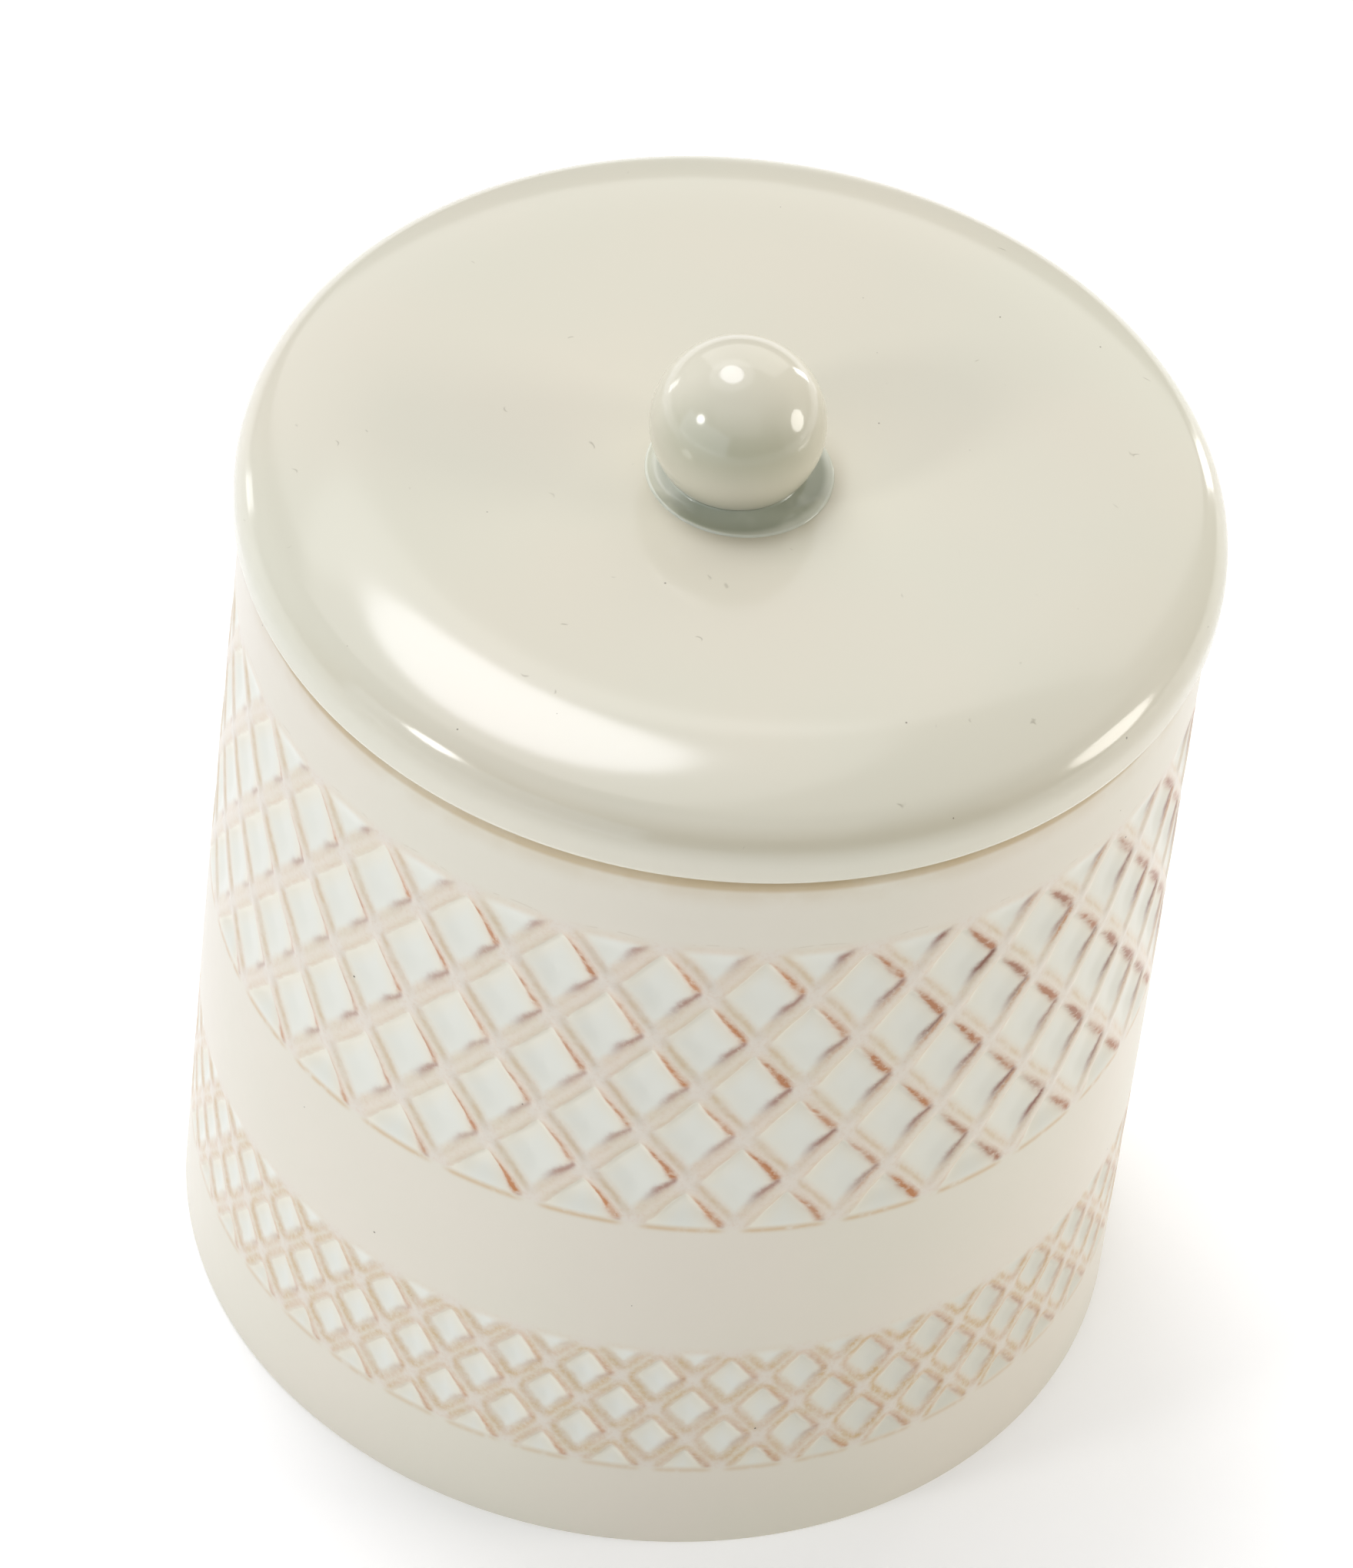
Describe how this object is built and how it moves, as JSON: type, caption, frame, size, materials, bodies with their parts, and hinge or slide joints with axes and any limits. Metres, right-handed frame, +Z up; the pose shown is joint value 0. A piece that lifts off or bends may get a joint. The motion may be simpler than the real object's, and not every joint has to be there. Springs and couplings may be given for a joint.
{
  "type": "covered jar",
  "caption": "Round glazed ceramic jar with bands of pressed diamond lattice round its wall and a low domed lift-off lid with a ball knob.",
  "frame": {"origin": "centre of the foot ring's flat underside, on the jar's axis, where it stands", "axes": "+Z up the jar's axis, towards the knob; -Y towards the front, where a lattice cell's middle lies 1.3 degrees to the left"},
  "size_m": [0.108, 0.108, 0.1338],
  "materials": {
    "jar_glaze": "satin warm ivory glaze, bluish where it pools in the cells, pinkish beige on the ribs, rust where it breaks",
    "lid_glaze": "glossy grey ivory glaze",
    "knob_glaze": "glossy grey ivory glaze, celadon where it pools at the foot"
  },
  "bodies": {
    "jar": {"jar_body": "jar_glaze"},
    "cover": {"lid": "lid_glaze", "lid_knob": "knob_glaze"}
  },
  "joints": [
    {"name": "lid_lift", "type": "slide", "parent": "jar", "child": "cover", "axis": [0, 0, 1], "range_m": [0, 0.06]}
  ]
}
